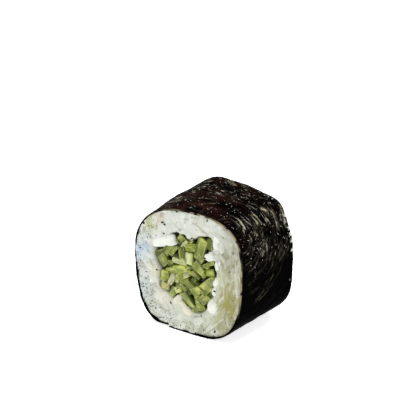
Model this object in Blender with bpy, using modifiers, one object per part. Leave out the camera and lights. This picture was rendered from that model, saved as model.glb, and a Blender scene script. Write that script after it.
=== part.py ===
"""One cut piece of a cucumber sushi roll, in metres.

A sheet of nori is wrapped once round a bed of pressed rice and laps over its own start under the
roll. The rice holds a core of chopped cucumber: long strips that run along the roll, and short bits
that the knife has left lying across both cut faces.

The roll's axis lies along Y, its width along X and its height along Z. It rests on a flat strip at
z = 0, with the middle of that strip at the origin. The front cut face looks along -Y.
"""
import math
import random

import bmesh
import bpy

# The roll. The knife pinches the front end, so the back end is the fattest.
ROLL_WIDTH = 0.0380
ROLL_HEIGHT = 0.0382
ROLL_LENGTH = 0.0260
PINCH_WIDTH = 0.0020  # how much narrower the front end is
PINCH_HEIGHT = 0.0009  # how much lower the front end is
FLAT_WIDTH = 0.0120  # the pressed strip that the roll lies on

# The nori sheet.
NORI_THICKNESS = 0.00045
NORI_LAP = 0.0140  # how far the sheet's end runs over its start
LAP_EASE = 0.0050  # how far the sheet takes to rise off the lap

# The cucumber filling.
FILLING_WIDTH = 0.0198
FILLING_HEIGHT = 0.0232
FILLING_SHIFT = -0.0010  # sideways from the roll's middle
FILLING_RISE = -0.0002  # up from the roll's mid height
STRIP_COUNT = 22
BIT_COUNT = 17  # at each cut face
BIT_DEPTH = 0.0036  # how far in from the cut face the loose bits lie
BIT_RECESS = 0.0012  # how far the deepest bit's face sits behind the cut face
KNIFE_EDGE = 0.00022  # softened edges of the cut cucumber
STRIP_TILT = 0.25  # how far the knife strays between two strips, in radians
BIT_TILT = 0.50
SLENDER_STRIPS = 0.3  # share of the last cuts that go lengthwise
SLENDER_BITS = 0.8

# The gap kept between any two pieces.
CLEARANCE = 0.0003

# Shape of the outlines: the level of the widest place as a share of the height, and how full each
# corner is, from 2 for an ellipse up to 4 for nearly square.
FRONT_SHAPE = {"waist": 0.61, "left_foot": 3.5, "left_top": 2.3, "right_top": 3.0, "right_foot": 3.2}
BACK_SHAPE = {"waist": 0.47, "left_foot": 3.3, "left_top": 2.9, "right_top": 2.5, "right_foot": 3.4}
FILLING_SHAPE = {"waist": 0.62, "left_foot": 1.8, "left_top": 2.3, "right_top": 2.6, "right_foot": 2.4}

TURN_STEPS = 96  # straight stretches in one turn of the roll
FILLING_STEPS = 48
SEED = 11


def clear_scene():
    """Start from an empty scene."""
    for thing in list(bpy.data.objects):
        bpy.data.objects.remove(thing, do_unlink=True)


def new_collection(name):
    collection = bpy.data.collections.new(name)
    bpy.context.scene.collection.children.link(collection)
    return collection


def finish_material(name, color, roughness):
    """A plain moist food surface."""
    material = bpy.data.materials.new(name)
    material.use_nodes = True
    shader = material.node_tree.nodes["Principled BSDF"]
    shader.inputs["Base Color"].default_value = (*color, 1.0)
    shader.inputs["Roughness"].default_value = roughness
    shader.inputs["Metallic"].default_value = 0.0
    return material


def add_object(name, mesh, collection, material=None):
    """Link a mesh as a named piece, with smooth round stretches and sharp corners."""
    if material:
        mesh.materials.append(material)
    mesh.shade_smooth()
    mesh.set_sharp_from_angle(angle=math.radians(30))
    piece = bpy.data.objects.new(name, mesh)
    collection.objects.link(piece)
    return piece


def outline_point(angle, width, height, shape, depth=0.0, flat=0.0):
    """Place (x, z) on a round outline that stands on z = 0.

    The angle runs clockwise, seen from the front, from the foot over the left side. Each quarter is
    a superellipse with its own fullness. The place lies depth inside the outline, and the foot is
    cut off flat over the width given as flat.
    """
    across = -math.sin(angle)
    upward = -math.cos(angle)
    side = "left" if across < 0 else "right"
    waist = height * shape["waist"]
    half_width = width / 2 - depth
    if upward > 0:
        power = shape[side + "_top"]
        reach = height - waist - depth
    else:
        power = shape[side + "_foot"]
        reach = (waist - depth) * (1 - (flat / width) ** power) ** (-1 / power)
    x = math.copysign(half_width * abs(across) ** (2 / power), across)
    z = math.copysign(reach * abs(upward) ** (2 / power), upward)
    return x, max(waist + z, depth)


def roll_point(end, angle, depth):
    """Place (x, y, z) at a depth under the roll's skin, at the front or the back cut end."""
    if end == "front":
        x, z = outline_point(angle, ROLL_WIDTH - PINCH_WIDTH, ROLL_HEIGHT - PINCH_HEIGHT,
                             FRONT_SHAPE, depth, FLAT_WIDTH)
        return x, -ROLL_LENGTH / 2, z
    x, z = outline_point(angle, ROLL_WIDTH, ROLL_HEIGHT, BACK_SHAPE, depth, FLAT_WIDTH)
    return x, ROLL_LENGTH / 2, z


def foot_angle(distance):
    """Outline angle at a distance sideways from the middle of the foot."""
    return math.asin((2 * distance / ROLL_WIDTH) ** (BACK_SHAPE["left_foot"] / 2))


def ease(share):
    """Smooth step from 0 to 1."""
    share = min(max(share, 0.0), 1.0)
    return share * share * (3 - 2 * share)


def under_lap(angle):
    """How deep the sheet's start lies where its end will run over it."""
    lap_angle = foot_angle(NORI_LAP / 2)
    rise = (abs(angle) - lap_angle) / (foot_angle(NORI_LAP / 2 + LAP_EASE) - lap_angle)
    return (NORI_THICKNESS + CLEARANCE) * (1 - ease(rise))


def make_nori(collection):
    """The sheet: a ribbon from its start under the foot, once round, and over the lap."""
    lap_angle = foot_angle(NORI_LAP / 2)
    lap_steps = max(4, round(TURN_STEPS * lap_angle / math.pi))
    step = 2 * lap_angle / lap_steps
    angles = [-lap_angle + step * i for i in range(lap_steps + 1)]
    open_steps = TURN_STEPS - lap_steps
    open_step = (2 * math.pi - 2 * lap_angle) / open_steps
    angles += [lap_angle + open_step * (i + 1) for i in range(open_steps)]
    places = [(angle, under_lap(angle) if angle < math.pi else 0.0) for angle in angles]
    places += [(angles[i + 1], 0.0) for i in range(lap_steps)]

    sheet = bmesh.new()
    start = [sheet.verts.new(roll_point("front", angle, depth)) for angle, depth in places]
    across = [sheet.verts.new(roll_point("back", angle, depth)) for angle, depth in places]
    for i in range(len(places) - 1):
        sheet.faces.new((start[i], start[i + 1], across[i + 1], across[i]))
    mesh = bpy.data.meshes.new("nori_sheet")
    sheet.to_mesh(mesh)
    sheet.free()
    dark = finish_material("nori", (0.012, 0.014, 0.010), 0.35)
    piece = add_object("nori_sheet", mesh, collection, dark)
    shell = piece.modifiers.new("thickness", "SOLIDIFY")
    shell.thickness = NORI_THICKNESS
    shell.offset = -1.0
    shell.use_even_offset = True
    return piece


def make_rice(collection, cutters):
    """The pressed rice: a solid between the two cut ends, bored through for the filling."""
    angles = [2 * math.pi * (i / TURN_STEPS - 0.5) for i in range(TURN_STEPS)]
    depths = [NORI_THICKNESS + CLEARANCE + under_lap(angle) for angle in angles]
    bed = bmesh.new()
    front = [bed.verts.new(roll_point("front", a, d)) for a, d in zip(angles, depths)]
    back = [bed.verts.new(roll_point("back", a, d)) for a, d in zip(angles, depths)]
    for i in range(TURN_STEPS):
        following = (i + 1) % TURN_STEPS
        bed.faces.new((front[i], front[following], back[following], back[i]))
    bed.faces.new(front)
    bed.faces.new(back)
    bmesh.ops.recalc_face_normals(bed, faces=bed.faces)
    mesh = bpy.data.meshes.new("rice_bed")
    bed.to_mesh(mesh)
    bed.free()
    pale = finish_material("rice", (0.80, 0.80, 0.74), 0.45)
    piece = add_object("rice_bed", mesh, collection, pale)

    core = prism("filling_hole", filling_outline(0.0), -ROLL_LENGTH, ROLL_LENGTH, cutters)
    core.hide_render = True
    core.display_type = "WIRE"
    hole = piece.modifiers.new("filling hole", "BOOLEAN")
    hole.operation = "DIFFERENCE"
    hole.solver = "EXACT"
    hole.object = core
    return piece


def filling_outline(depth):
    """The core's outline, placed in the roll's cross section."""
    angles = [2 * math.pi * i / FILLING_STEPS for i in range(FILLING_STEPS)]
    outline = [outline_point(a, FILLING_WIDTH, FILLING_HEIGHT, FILLING_SHAPE, depth) for a in angles]
    return [in_filling(x, z) for x, z in outline]


def in_filling(x, z):
    """A place given from the foot of the core, in the roll's cross section."""
    return x + FILLING_SHIFT, z + ROLL_HEIGHT / 2 + FILLING_RISE - FILLING_HEIGHT / 2


def prism(name, outline, front, back, collection, material=None):
    """A straight bar along Y with the XZ outline given."""
    curve = bpy.data.curves.new(name, "CURVE")
    curve.dimensions = "2D"
    curve.fill_mode = "BOTH"
    curve.extrude = (back - front) / 2
    spline = curve.splines.new("POLY")
    spline.points.add(len(outline) - 1)
    for point, (x, z) in zip(spline.points, outline):
        point.co = (x, z, 0.0, 1.0)
    spline.use_cyclic_u = True
    holder = bpy.data.objects.new(name + "_outline", curve)
    holder.location = (0.0, (front + back) / 2, 0.0)
    holder.rotation_euler = (math.radians(90), 0.0, 0.0)
    collection.objects.link(holder)
    bpy.context.view_layer.update()

    evaluated = holder.evaluated_get(bpy.context.evaluated_depsgraph_get())
    mesh = bpy.data.meshes.new_from_object(evaluated)
    mesh.materials.clear()
    body = bmesh.new()
    body.from_mesh(mesh)
    bmesh.ops.remove_doubles(body, verts=body.verts, dist=0.00001)
    bmesh.ops.recalc_face_normals(body, faces=body.faces)
    body.to_mesh(mesh)
    body.free()
    piece = add_object(name, mesh, collection, material)
    piece.matrix_world = holder.matrix_world
    bpy.data.objects.remove(holder, do_unlink=True)
    bpy.data.curves.remove(curve)
    return piece


def area(outline):
    """Area inside an outline, positive when it runs anticlockwise."""
    ring = zip(outline, outline[1:] + outline[:1])
    return sum(ax * bz - bx * az for (ax, az), (bx, bz) in ring) / 2


def keep_below(outline, direction, level):
    """The part of a convex outline whose distance along the direction is under the level."""
    dx, dz = direction
    kept = []
    for (ax, az), (bx, bz) in zip(outline, outline[1:] + outline[:1]):
        a_over = ax * dx + az * dz - level
        b_over = bx * dx + bz * dz - level
        if a_over <= 0:
            kept.append((ax, az))
        if a_over * b_over < 0:
            share = a_over / (a_over - b_over)
            kept.append((ax + share * (bx - ax), az + share * (bz - az)))
    return kept


def cut_in_two(outline, angle, share):
    """Cut a convex outline by a straight line, with the share of its area on the near side."""
    direction = (math.cos(angle), math.sin(angle))
    away = (-direction[0], -direction[1])
    reaches = [x * direction[0] + z * direction[1] for x, z in outline]
    low = min(reaches)
    high = max(reaches)
    whole = abs(area(outline))
    for _ in range(30):
        level = (low + high) / 2
        if abs(area(keep_below(outline, direction, level))) < share * whole:
            low = level
        else:
            high = level
    return keep_below(outline, direction, level), keep_below(outline, away, -level)


def reach(outline, angle):
    """How far an outline extends in the direction of an angle."""
    along = [x * math.cos(angle) + z * math.sin(angle) for x, z in outline]
    return max(along) - min(along)


def long_direction(outline):
    """Angle of the long side of the narrowest box that an outline fits in."""
    sides = zip(outline, outline[1:] + outline[:1])
    angles = [math.atan2(bz - az, bx - ax) for (ax, az), (bx, bz) in sides]
    return min(angles, key=lambda angle: reach(outline, angle + math.pi / 2))


def chop_core(count, tilt, slender, dice):
    """Cells for a number of pieces that fill the core together.

    The cuts are laid out on an outline of unit size, so that they follow the core's own size.
    """
    angles = [2 * math.pi * i / FILLING_STEPS for i in range(FILLING_STEPS)]
    unit = [outline_point(a, 1.0, 1.0, FILLING_SHAPE) for a in angles]
    room = filling_outline(CLEARANCE)
    cells = []
    for cell in chop(unit, count, tilt, slender, dice):
        placed = [in_filling(x * FILLING_WIDTH, z * FILLING_HEIGHT) for x, z in cell]
        apart = drawn_in(placed, placed, CLEARANCE / 2)
        cells.append(tidy_corners(drawn_in(apart, room, 0.0)))
    return cells


def chop(outline, count, tilt, slender, dice):
    """Share a convex outline among a number of pieces, by straight cuts that tilt at random.

    Cuts go across the longer way, but a share of the last ones, given as slender, go lengthwise.
    """
    if count == 1:
        return [outline]
    angle = long_direction(outline) + dice.uniform(-tilt, tilt)
    if dice.random() < slender and count == 2:
        angle += math.pi / 2
    near_count = count // 2
    near, far = cut_in_two(outline, angle, near_count / count)
    near_cells = chop(near, near_count, tilt, slender, dice)
    return near_cells + chop(far, count - near_count, tilt, slender, dice)


def drawn_in(outline, bounds, margin):
    """The part of a convex outline that lies inside another one, by a margin."""
    turn = math.copysign(1.0, area(bounds))
    kept = outline
    for (ax, az), (bx, bz) in zip(bounds, bounds[1:] + bounds[:1]):
        length = math.dist((ax, az), (bx, bz))
        if length > 0:
            outward = (turn * (bz - az) / length, -turn * (bx - ax) / length)
            kept = keep_below(kept, outward, ax * outward[0] + az * outward[1] - margin)
    return kept


def tidy_corners(outline):
    """Leave out corners that lie closer together than the softened edge is wide."""
    kept = [outline[0]]
    for corner in outline[1:]:
        if math.dist(corner, kept[-1]) > 2 * KNIFE_EDGE and math.dist(corner, kept[0]) > 2 * KNIFE_EDGE:
            kept.append(corner)
    return kept


def cut_pieces(kind, cells, fronts, backs, materials, collection):
    """One bar of cucumber in each cell, with softened knife edges."""
    for i, cell in enumerate(cells):
        name = "cucumber_%s_%02d" % (kind, i + 1)
        material = materials[1] if i % 5 == 2 else materials[0]
        piece = prism(name, cell, fronts[i], backs[i], collection, material)
        edge = piece.modifiers.new("knife edge", "BEVEL")
        edge.width = KNIFE_EDGE
        edge.segments = 1
        edge.limit_method = "ANGLE"
        edge.angle_limit = math.radians(30)


def make_filling(collection):
    """Strips in the middle of the roll, and a layer of loose bits behind each cut face."""
    dice = random.Random(SEED)
    materials = (finish_material("cucumber_flesh", (0.42, 0.50, 0.16), 0.3),
                 finish_material("cucumber_rind", (0.16, 0.26, 0.05), 0.3))
    face = ROLL_LENGTH / 2
    layer = face - BIT_DEPTH

    cells = chop_core(STRIP_COUNT, STRIP_TILT, SLENDER_STRIPS, dice)
    near = -layer + CLEARANCE
    cut_pieces("strip", cells, [near] * STRIP_COUNT, [-near] * STRIP_COUNT, materials, collection)

    for kind, side in (("front_bit", -1), ("back_bit", 1)):
        cells = chop_core(BIT_COUNT, BIT_TILT, SLENDER_BITS, dice)
        outer = [side * (face - dice.uniform(0.0, BIT_RECESS)) for _ in cells]
        inner = [side * layer] * BIT_COUNT
        fronts = outer if side < 0 else inner
        backs = inner if side < 0 else outer
        cut_pieces(kind, cells, fronts, backs, materials, collection)


clear_scene()
roll = new_collection("cucumber_sushi_roll")
cutting_tools = new_collection("cutters")
make_nori(roll)
make_rice(roll, cutting_tools)
make_filling(roll)
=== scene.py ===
"""Looks of one cut piece of a cucumber sushi roll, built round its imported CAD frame.

The roll's axis lies along Y and its front cut face looks along -Y. The script works in millimetres
until new_piece turns each mesh into metres.
"""

import math
import random

import bmesh
import bpy
import numpy as np
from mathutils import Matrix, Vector
from mathutils.bvhtree import BVHTree


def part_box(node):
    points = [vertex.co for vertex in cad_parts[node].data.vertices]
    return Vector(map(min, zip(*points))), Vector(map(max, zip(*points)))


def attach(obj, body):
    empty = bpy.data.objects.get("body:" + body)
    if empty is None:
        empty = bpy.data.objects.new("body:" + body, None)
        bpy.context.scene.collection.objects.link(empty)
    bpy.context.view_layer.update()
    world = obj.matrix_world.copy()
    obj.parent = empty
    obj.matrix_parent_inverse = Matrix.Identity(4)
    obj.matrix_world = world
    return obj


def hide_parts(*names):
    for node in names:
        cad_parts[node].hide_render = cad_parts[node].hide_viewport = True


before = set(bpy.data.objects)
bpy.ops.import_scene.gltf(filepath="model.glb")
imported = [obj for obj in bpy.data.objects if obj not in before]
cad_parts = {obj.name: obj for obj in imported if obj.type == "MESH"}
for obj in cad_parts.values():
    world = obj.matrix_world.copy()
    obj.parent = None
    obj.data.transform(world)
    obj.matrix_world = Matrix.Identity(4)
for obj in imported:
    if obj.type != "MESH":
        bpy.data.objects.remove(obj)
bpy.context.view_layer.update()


# ---- Nori sheet ---------------------------------------------------------------------------------
# A sheet of pressed, toasted seaweed, rolled once round the rice. Its end laps over its start under
# the roll, where damp rice starch glues it. The fibres lie round the roll and catch the light.

MM = 0.001
SHEET_THICKNESS = 0.45
LAP = 14.0  # how far the sheet's end runs over its start
LAP_GAP = 0.3  # between the two layers
LAP_EASE = 5.0  # how far the sheet takes to rise off the lap
SHEET_COLUMNS = 560
SHEET_ROWS = 142
LINING_ROWS = 22  # on the side that the rice hides
OUTLINE_STEPS = 720
STATIONS = 5  # places along the roll where the CAD's outline is taken
FACET_BLUR = 1.0  # millimetres over which the CAD's facets are smoothed
RAY_START = 60.0  # well outside the roll

# Where the sheet swells or sinks: share of the way round, place along, reaches of both, height.
SWELLS = [
    (0.45, 13.0, 0.030, 9.0, 0.7), (0.615, 13.0, 0.028, 7.0, 1.0), (0.56, 13.0, 0.030, 7.0, -0.4),
    (0.375, 0.0, 0.040, 8.0, 0.5), (0.26, -13.0, 0.060, 8.0, 0.4), (0.11, -13.0, 0.040, 8.0, 0.4),
]

nori_low, nori_high = (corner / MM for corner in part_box("nori_sheet"))
FRONT = nori_low.y
BACK = nori_high.y
AXIS_HEIGHT = (nori_low.z + nori_high.z) / 2


def ease(share):
    """Smooth step from 0 to 1."""
    share = np.clip(share, 0.0, 1.0)
    return share * share * (3 - 2 * share)


def hill(distance, width):
    """A soft hill of height 1, as wide as the width on each side."""
    return np.exp(-(distance / width) ** 2)


def soft_noise(across, along, seed):
    """Smooth noise from -1 to 1, with about one swell in each unit."""
    table = np.random.default_rng(seed).uniform(-1.0, 1.0, (256, 256))
    column = np.floor(across).astype(int)
    row = np.floor(along).astype(int)
    right = ease(across - column)
    up = ease(along - row)
    low = table[column % 256, row % 256] * (1 - right) + table[(column + 1) % 256, row % 256] * right
    row = row + 1
    high = table[column % 256, row % 256] * (1 - right) + table[(column + 1) % 256, row % 256] * right
    return low * (1 - up) + high * up


def blurred(values, steps):
    """A closed run of evenly spaced values, smoothed over a number of steps."""
    waves = np.fft.rfft(values)
    keep = np.exp(-2 * (math.pi * steps * np.fft.rfftfreq(len(values))) ** 2)
    return np.fft.irfft(waves * keep, len(values))


def lap_depth(along):
    """How deep the sheet's start lies under its end, at a distance from the middle of the foot."""
    return (SHEET_THICKNESS + LAP_GAP) * (1 - ease((np.abs(along) - LAP / 2) / LAP_EASE))


def lap_cover(along):
    """1 where the sheet's end covers its start."""
    return ease(LAP / 2 + 0.5 - np.abs(along))


def skin_outline(tree, y):
    """Evenly spaced x, z and outward nx, nz round the roll, and its girth, at one place along it.

    The run starts in the middle of the foot and goes clockwise, seen from the front.
    """
    hits = []
    for turn in math.tau * np.arange(OUTLINE_STEPS) / OUTLINE_STEPS:
        outward = Vector((-math.sin(turn), 0.0, -math.cos(turn)))
        start = Vector((0.0, y, AXIS_HEIGHT)) + RAY_START * outward
        hits.append(tree.ray_cast(start * MM, -outward)[0] / MM)
    x = np.array([hit.x for hit in hits])
    z = np.array([hit.z for hit in hits])
    steps = np.hypot(np.roll(x, -1) - x, np.roll(z, -1) - z)
    girth = steps.sum()
    along = np.cumsum(steps) - steps
    z = np.where((along > LAP / 2) & (along < girth / 2), z - lap_depth(along), z)
    even = girth * np.arange(OUTLINE_STEPS) / OUTLINE_STEPS
    blur = FACET_BLUR * OUTLINE_STEPS / girth
    x = blurred(np.interp(even, along, x, period=girth), blur)
    z = blurred(np.interp(even, along, z, period=girth), blur)
    z = np.maximum(z, 0.0)
    way_x = np.roll(x, -1) - np.roll(x, 1)
    way_z = np.roll(z, -1) - np.roll(z, 1)
    length = np.hypot(way_x, way_z)
    return np.stack([x, z, -way_z / length, way_x / length]), girth


def surface_of(piece):
    """A tree of the piece's faces, which rays in metres can be cast on."""
    return BVHTree.FromObject(piece, bpy.context.evaluated_depsgraph_get())


sheet_tree = surface_of(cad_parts["nori_sheet"])
station_places = np.linspace(FRONT + 0.1, BACK - 0.1, STATIONS)
outlines, girths = zip(*(skin_outline(sheet_tree, y) for y in station_places))
GIRTH = float(np.mean(girths))


def skin_place(share, y, depth):
    """Places (x, y, z) at a depth under the skin, at a share of the way round the roll."""
    share, y, depth = np.broadcast_arrays(share, y, depth)
    station = np.clip((y - station_places[0]) / (station_places[-1] - station_places[0]), 0, 1)
    station = station * (STATIONS - 1)
    found = np.zeros((4,) + share.shape)
    for i, outline in enumerate(outlines):
        weight = np.clip(1 - np.abs(station - i), 0, 1)
        for k in range(4):
            found[k] += weight * np.interp(share * OUTLINE_STEPS, np.arange(OUTLINE_STEPS),
                                           outline[k], period=OUTLINE_STEPS)
    x, z, out_x, out_z = found
    for middle, place, reach_round, reach_along, height in SWELLS:
        away = (share - middle + 0.5) % 1.0 - 0.5
        depth = depth - height * hill(away, reach_round) * hill(y - place, reach_along)
    return np.stack([x - out_x * depth, y, z - out_z * depth], -1)


def grid_faces(columns, rows, closed):
    """Quads of a tube whose vertices run round it within each column, and whose ends may meet."""
    column = np.arange(columns if closed else columns - 1)[:, None]
    row = np.arange(rows)[None, :]
    next_column = (column + 1) % columns
    next_row = (row + 1) % rows
    quads = np.stack([column * rows + row, next_column * rows + row,
                      next_column * rows + next_row, column * rows + next_row], -1)
    return quads.reshape(-1, 4).tolist()


def new_piece(name, vertices, faces, finish, **attributes):
    """A piece made of millimetre vertices, with values for its material stored on them."""
    mesh = bpy.data.meshes.new(name)
    mesh.from_pydata((np.asarray(vertices).reshape(-1, 3) * MM).tolist(), [], faces)
    for label, values in attributes.items():
        values = np.asarray(values, np.float32).ravel()
        single = values.size == len(mesh.vertices)
        layer = mesh.attributes.new(label, "FLOAT" if single else "FLOAT_VECTOR", "POINT")
        layer.data.foreach_set("value" if single else "vector", values)
    body = bmesh.new()
    body.from_mesh(mesh)
    bmesh.ops.recalc_face_normals(body, faces=body.faces)
    body.to_mesh(mesh)
    body.free()
    mesh.shade_smooth()
    mesh.materials.append(finish)
    piece = bpy.data.objects.new(name, mesh)
    bpy.context.scene.collection.objects.link(piece)
    return piece


class Wire:
    """A socket that shader maths is written with.

    Sums of numbers add Math nodes, and sums of vectors and colours add Vector Math nodes.
    """

    def __init__(self, tree, socket=None):
        self.tree = tree
        self.socket = socket

    def node(self, kind, settings, values, output=0):
        """Any other node: its settings are set first, then its sockets' values or links."""
        made = self.tree.nodes.new(kind)
        for label, setting in settings.items():
            setattr(made, label, setting)
        for label, value in values.items():
            if isinstance(value, Wire):
                self.tree.links.new(value.socket, made.inputs[label])
            else:
                made.inputs[label].default_value = value
        return Wire(self.tree, made.outputs[output])

    def maths(self, operation, first, second):
        kind = "ShaderNodeMath" if self.socket.type == "VALUE" else "ShaderNodeVectorMath"
        return self.node(kind, {"operation": operation}, {0: first, 1: second})

    def __add__(self, other):
        return self.maths("ADD", self, other)

    def __radd__(self, other):
        return self.maths("ADD", other, self)

    def __sub__(self, other):
        return self.maths("SUBTRACT", self, other)

    def __rsub__(self, other):
        return self.maths("SUBTRACT", other, self)

    def __mul__(self, other):
        return self.maths("MULTIPLY", self, other)

    def __rmul__(self, other):
        return self.maths("MULTIPLY", other, self)

    def between(self, low, high):
        """0 where the value is under low, 1 where it is over high, and a smooth step between."""
        return self.node("ShaderNodeMapRange", {"interpolation_type": "SMOOTHSTEP"},
                         {0: self, 1: low, 2: high})

    def blend(self, low, high):
        """The colour low where the value is 0, and the screen colour high where it is 1."""
        return self.node("ShaderNodeMix", {"data_type": "RGBA"}, {0: self, 6: low, 7: paint(*high)}, 2)

    def stored(self, label, output=2):
        """A value stored on the mesh: output 0 is its colour, 1 its vector and 2 its number."""
        return self.node("ShaderNodeAttribute", {"attribute_name": label}, {}, output)

    def line(self, width):
        """1 where the value is near 0.5, and 0 further from it than the width."""
        return self.maths("ABSOLUTE", self - 0.5, 0.0).between(width, 0.0)

    def noise(self, place, size, detail=3.0, roughness=0.5):
        """Noise from 0 to 1 with swells of about the size given, in the place's own unit."""
        return self.node("ShaderNodeTexNoise", {}, {
            "Vector": place, "Scale": 1 / size, "Detail": detail, "Roughness": roughness})

    def bump(self, strength, distance):
        """The normal that this relief gives, where 1 is as high as the distance in millimetres."""
        return self.node("ShaderNodeBump", {}, {
            "Strength": strength, "Distance": distance * MM, "Height": self})


def paint(red, green, blue):
    """A colour given as it looks on a screen, from 0 to 255, for a shader's socket."""
    shares = (red / 255, green / 255, blue / 255)
    return (*(((v + 0.055) / 1.055) ** 2.4 if v > 0.04 else v / 12.92 for v in shares), 1.0)


def new_finish(name, plain):
    """A material whose uniform values are set on the shader, and a wire to build the rest with."""
    finish = bpy.data.materials.new(name)
    finish.use_nodes = True
    shader = finish.node_tree.nodes["Principled BSDF"]
    for label, value in plain.items():
        shader.inputs[label].default_value = value
    return finish, shader, Wire(finish.node_tree)


def feed(shader, **sockets):
    """Link wires to the shader's sockets, which are named with _ for a space."""
    for label, wire in sockets.items():
        wire.tree.links.new(wire.socket, shader.inputs[label.replace("_", " ")])


WHORL_SHARE = 0.645  # here the fibres turn towards the front, as a share of the way round
WHORL_PLACE = -11.0  # and along the roll
# Spots of painted sheen, where the fibres are drawn lighter as if lit and their coat shines a little: share
# of the way round, place along, and reaches of both.
SHEEN_SPOTS = [
    (0.62, 1.6, 0.032, 4.0), (0.625, -5.5, 0.03, 3.0), (0.63, 12.0, 0.04, 3.0),
    (0.5, 4.0, 0.05, 3.0), (0.42, -6.0, 0.03, 4.0), (0.42, 5.0, 0.025, 4.0),
    (0.69, -2.0, 0.018, 2.5), (0.51, 12.5, 0.06, 1.5), (0.21, 6.0, 0.04, 5.0),
    (0.3, 2.0, 0.03, 6.0), (0.33, -9.0, 0.03, 3.0),
]

# Single fibres with a painted highlight: share and place of both ends, bend towards the back, width,
# brightness.
STROKES = [
    (0.605, 0.5, 0.64, 0.7, 0.4, 0.5, 0.75), (0.612, -0.9, 0.636, -1.0, 0.3, 0.4, 0.7),
    (0.603, 5.0, 0.623, 6.4, 0.0, 1.0, 0.7), (0.629, 3.6, 0.639, 4.7, 0.0, 0.5, 1.0),
    (0.614, 7.2, 0.672, 6.2, 1.0, 0.5, 0.65), (0.658, 7.9, 0.671, 7.4, 0.1, 0.35, 0.6),
    (0.64, -4.2, 0.657, -2.8, 0.0, 1.1, 0.45), (0.606, -7.4, 0.632, -6.6, 0.3, 0.45, 0.5),
    (0.64, -6.8, 0.662, -6.9, 0.2, 0.4, 0.5), (0.604, -5.0, 0.632, -3.6, 0.3, 0.4, 0.55),
    (0.668, -7.0, 0.69, -7.8, 0.2, 0.4, 0.4), (0.625, 11.8, 0.65, 11.4, 0.2, 0.45, 0.8),
    (0.636, 10.4, 0.652, 10.2, 0.0, 0.4, 0.7), (0.648, 11.8, 0.674, 11.2, 0.1, 0.6, 0.65),
    (0.618, 12.3, 0.632, 12.1, 0.0, 0.3, 0.7), (0.545, 6.5, 0.568, 7.6, 0.2, 0.6, 0.45),
    (0.485, 11.2, 0.518, 9.6, 0.2, 0.9, 0.45), (0.552, 4.5, 0.562, 5.0, 0.0, 0.5, 0.7),
    (0.537, 10.2, 0.545, 9.8, 0.0, 0.6, 0.7), (0.474, -3.4, 0.514, -1.8, 0.2, 0.35, 0.4),
    (0.5, -6.6, 0.536, -3.6, 0.3, 0.5, 0.4), (0.484, -10.0, 0.502, -10.4, 0.1, 0.6, 0.35),
    (0.52, -9.2, 0.552, -6.8, 0.4, 0.5, 0.3), (0.436, 8.0, 0.456, 9.6, 0.0, 0.6, 0.75),
    (0.432, -6.4, 0.44, -5.6, 0.0, 0.7, 0.8), (0.434, 1.0, 0.444, 2.2, 0.0, 0.8, 0.5),
    (0.445, 0.2, 0.449, 0.8, 0.0, 0.6, 0.9), (0.438, 3.6, 0.442, 4.6, 0.0, 0.5, 0.6),
    (0.443, -7.5, 0.45, -1.0, 0.4, 0.4, 0.3), (0.48, 12.2, 0.5, 12.3, 0.0, 0.5, 0.6),
    (0.672, -1.2, 0.7, -4.6, 0.6, 0.4, 0.35), (0.7, 2.6, 0.716, -3.0, 0.6, 0.4, 0.22),
    (0.694, 6.6, 0.722, 1.5, 0.7, 0.4, 0.28), (0.7, 9.5, 0.74, 5.0, 1.0, 0.4, 0.3),
    (0.69, 8.0, 0.73, 4.4, 0.9, 0.3, 0.25), (0.725, -6.5, 0.75, -6.6, 0.2, 0.5, 0.2),
    (0.708, 11.0, 0.732, 8.3, 0.5, 0.4, 0.3), (0.578, -12.4, 0.592, -8.6, 0.6, 0.4, 0.28),
    (0.59, -11.8, 0.604, -9.0, 0.5, 0.35, 0.28), (0.795, 11.4, 0.8, 12.2, 0.0, 0.4, 0.5),
]
# Faint arcs of painted highlight that turn about the whorl.
ARC_COUNT = 130  # faint fibres that turn about the whorl
EDGE_WAVE = 0.16  # how far the cut edges stray, over a few millimetres
EDGE_NICK = 0.08  # and over less than one
CUT_BULGE = 0.06  # how far the middle of a cut edge stands out
LAP_SET_BACK = 0.9  # how far the covered start's edges hide behind the rice
SWOLLEN = 0.25  # how much thicker the sheet is at the lower left, where it is damp
FIBRE_RELIEF = 0.10
HAIR_RELIEF = 0.05
PUCKER_RELIEF = 0.10

share = np.linspace(-LAP / 2 / GIRTH, 1 + LAP / 2 / GIRTH, SHEET_COLUMNS)[:, None]
outer_rows = np.linspace(0, 1, SHEET_ROWS)
lining_rows = np.linspace(1, 0, LINING_ROWS)
row_share = np.concatenate([outer_rows, [1.0], lining_rows, [0.0]])[None, :]
row_depth = np.concatenate([0 * outer_rows, [0.5], 1 + 0 * lining_rows, [0.5]])[None, :]
cut_bulge = np.concatenate([0 * outer_rows, [1.0], 0 * lining_rows, [-1.0]])[None, :]

round_way = share * GIRTH
set_back = np.where(share < 0.5, LAP_SET_BACK * lap_cover(round_way), 0.0)
front_edge = FRONT + EDGE_WAVE * soft_noise(round_way / 2.3, 0 * share, 3) + set_back
front_edge += EDGE_NICK * soft_noise(round_way / 0.8, 0 * share, 4)
back_edge = BACK + EDGE_WAVE * soft_noise(round_way / 2.6, 0 * share, 5) - set_back
back_edge += EDGE_NICK * soft_noise(round_way / 0.8, 0 * share, 6)
y = front_edge + (back_edge - front_edge) * row_share + CUT_BULGE * cut_bulge
round_way = round_way + 0 * y

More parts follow.
